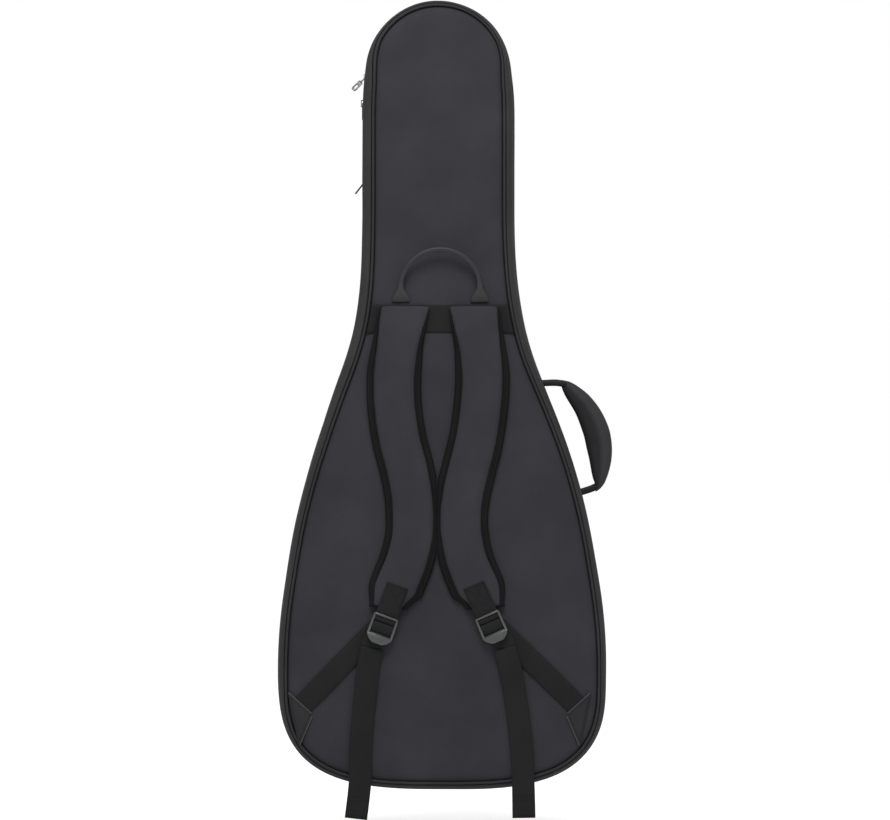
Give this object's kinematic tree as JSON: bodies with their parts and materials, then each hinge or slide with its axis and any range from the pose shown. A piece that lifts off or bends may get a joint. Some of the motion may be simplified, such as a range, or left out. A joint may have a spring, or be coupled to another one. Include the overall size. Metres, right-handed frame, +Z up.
{
  "type": "padded gig bag",
  "caption": "Padded soft guitar bag with backpack straps, haul loop, side handle, zip-open lid and outer pockets.",
  "frame": {"origin": "inside top of the haul loop, where a hook or a hand holds the bag", "axes": "+Z up along the bag towards the head end, -Y out of the back panel that carries the straps, +X towards the side handle"},
  "size_m": [0.47, 0.1782, 1.1412],
  "materials": {
    "panel_fabric": "fine woven synthetic cloth",
    "gusset_fabric": "woven synthetic cloth",
    "foam": "closed-cell foam, hidden between the cloth layers",
    "lining": "soft brushed lining",
    "piping": "covered cord",
    "webbing": "woven webbing",
    "tab_fabric": "folded cloth, edge stitched",
    "zip_tape": "zip tape",
    "zip_coil": "nylon coil",
    "zip_metal": "plated metal",
    "puller_black": "moulded puller",
    "strap_fabric": "fine woven synthetic cloth over foam",
    "grip_fabric": "cloth wrap over foam",
    "lock_plastic": "moulded acetal, semi-gloss"
  },
  "bodies": {
    "shell": {"back_panel": "panel_fabric", "back_foam": "foam", "back_lining": "lining", "back_piping": "piping", "back_gusset": "gusset_fabric", "gusset_foam": "foam", "gusset_lining": "lining", "back_binding": "webbing", "zip_tape_back": "zip_tape", "zip_coil_back": "zip_coil", "hinge_fabric": "gusset_fabric", "zip_stops": "zip_metal", "cross_band": "webbing", "corner_tab_left": "tab_fabric", "corner_tab_right": "tab_fabric", "neck_cradle": "lining", "neck_strap_hook": "webbing", "neck_strap_loop": "webbing", "bumper_pad": "lining", "side_handle_web": "webbing"},
    "lid": {"front_panel": "panel_fabric", "front_foam": "foam", "front_lining": "lining", "front_piping": "piping", "front_gusset": "gusset_fabric", "front_gusset_foam": "foam", "front_binding": "webbing", "zip_tape_front": "zip_tape", "zip_coil_front": "zip_coil", "pocket_panel": "panel_fabric", "pocket_gusset": "gusset_fabric", "pocket_zip": "zip_coil", "neck_pocket_panel": "panel_fabric", "neck_pocket_gusset": "gusset_fabric", "neck_pocket_zip": "zip_coil"},
    "main_slider_upper": {"main_slider_upper": "zip_metal"},
    "main_puller_upper": {"main_puller_upper": "zip_metal"},
    "main_slider_lower": {"main_slider_lower": "zip_metal"},
    "main_puller_lower": {"main_puller_lower": "zip_metal"},
    "pocket_slider": {"pocket_slider": "zip_metal"},
    "pocket_puller": {"pocket_puller": "zip_metal"},
    "neck_slider": {"neck_slider": "zip_metal"},
    "neck_puller": {"neck_puller": "puller_black"},
    "haul_loop": {"haul_loop": "webbing"},
    "strap_left": {"strap_left": "strap_fabric", "strap_web_left": "webbing"},
    "strap_right": {"strap_right": "strap_fabric", "strap_web_right": "webbing"},
    "lock_left": {"ladder_lock_left": "lock_plastic"},
    "lock_right": {"ladder_lock_right": "lock_plastic"},
    "web_left": {"lower_web_left": "webbing"},
    "web_right": {"lower_web_right": "webbing"},
    "tail_left": {"tail_left": "webbing"},
    "tail_right": {"tail_right": "webbing"},
    "side_handle": {"side_grip": "grip_fabric"}
  },
  "joints": [
    {"name": "lid_hinge", "type": "hinge", "parent": "shell", "child": "lid", "pos_m": [0.2315, 0.10654, -0.56583], "axis": [0, 0.0318, -0.9995], "range_deg": [0, 115]},
    {"name": "main_slider_upper_run", "type": "hinge", "parent": "shell", "child": "main_slider_upper", "pos_m": [0, 0.08067, 0.24716], "axis": [0, 0.9995, 0.0318], "range_deg": [0, 180]},
    {"name": "main_puller_upper_swing", "type": "hinge", "parent": "main_slider_upper", "child": "main_puller_upper", "pos_m": [-0.1048, 0.08067, 0.24716], "axis": [0, 0.9995, 0.0318], "range_deg": [-32, 112]},
    {"name": "main_slider_lower_run", "type": "slide", "parent": "shell", "child": "main_slider_lower", "axis": [0, 0.0318, -0.9995], "range_m": [0, 0.14]},
    {"name": "main_puller_lower_swing", "type": "hinge", "parent": "main_slider_lower", "child": "main_puller_lower", "pos_m": [-0.1086, 0.08183, 0.21077], "axis": [0, 0.9995, 0.0318], "range_deg": [0, 170]},
    {"name": "pocket_slider_run", "type": "slide", "parent": "lid", "child": "pocket_slider", "axis": [-1, 0, 0], "range_m": [0, 0.26]},
    {"name": "pocket_puller_swing", "type": "hinge", "parent": "pocket_slider", "child": "pocket_puller", "pos_m": [0.13, 0.14536, -0.27655], "axis": [0, -0.9995, -0.0318], "range_deg": [0, 170]},
    {"name": "neck_slider_run", "type": "slide", "parent": "lid", "child": "neck_slider", "axis": [0, 0.0318, -0.9995], "range_m": [0, 0.228]},
    {"name": "neck_puller_swing", "type": "hinge", "parent": "neck_slider", "child": "neck_puller", "pos_m": [-0.0969, 0.12892, 0.11422], "axis": [0, 0.9995, 0.0318], "range_deg": [-34, 130]},
    {"name": "haul_loop_swing", "type": "hinge", "parent": "shell", "child": "haul_loop", "pos_m": [0, 0.01212, -0.06874], "axis": [1, 0, 0], "range_deg": [0, 72]},
    {"name": "strap_left_lift", "type": "hinge", "parent": "shell", "child": "strap_left", "pos_m": [-0.047, 0.01402, -0.07374], "axis": [-1, 0, 0], "range_deg": [0, 10]},
    {"name": "lock_left_tilt", "type": "hinge", "parent": "strap_left", "child": "lock_left", "pos_m": [-0.076, 0.00642, -0.51474], "axis": [-0.9397, 0, 0.342], "range_deg": [0, 40]},
    {"name": "web_left_lift", "type": "hinge", "parent": "shell", "child": "web_left", "pos_m": [-0.185, 0.01392, -0.62674], "axis": [0.7182, 0, -0.6958], "range_deg": [0, 31]},
    {"name": "tail_left_swing", "type": "hinge", "parent": "lock_left", "child": "tail_left", "pos_m": [-0.092, 0.00942, -0.55274], "axis": [-1, 0, 0], "range_deg": [0, 100]},
    {"name": "strap_right_lift", "type": "hinge", "parent": "shell", "child": "strap_right", "pos_m": [0.047, 0.01402, -0.07374], "axis": [-1, 0, 0], "range_deg": [0, 10]},
    {"name": "lock_right_tilt", "type": "hinge", "parent": "strap_right", "child": "lock_right", "pos_m": [0.0685, 0.00642, -0.51274], "axis": [-0.9171, 0, -0.3987], "range_deg": [0, 40]},
    {"name": "web_right_lift", "type": "hinge", "parent": "shell", "child": "web_right", "pos_m": [0.185, 0.01392, -0.62674], "axis": [0.7009, 0, 0.7132], "range_deg": [0, 29.5]},
    {"name": "tail_right_swing", "type": "hinge", "parent": "lock_right", "child": "tail_right", "pos_m": [0.092, 0.00942, -0.55274], "axis": [-1, 0, 0], "range_deg": [0, 100]},
    {"name": "side_handle_swing", "type": "hinge", "parent": "shell", "child": "side_handle", "pos_m": [0.182, 0.06242, -0.25924], "axis": [0.3087, 0, -0.9512], "range_deg": [-30, 30]}
  ],
  "couplings": [
    {"joint": "web_left_lift", "follows": "strap_left_lift", "ratio": 3.05},
    {"joint": "web_right_lift", "follows": "strap_right_lift", "ratio": 2.92}
  ]
}
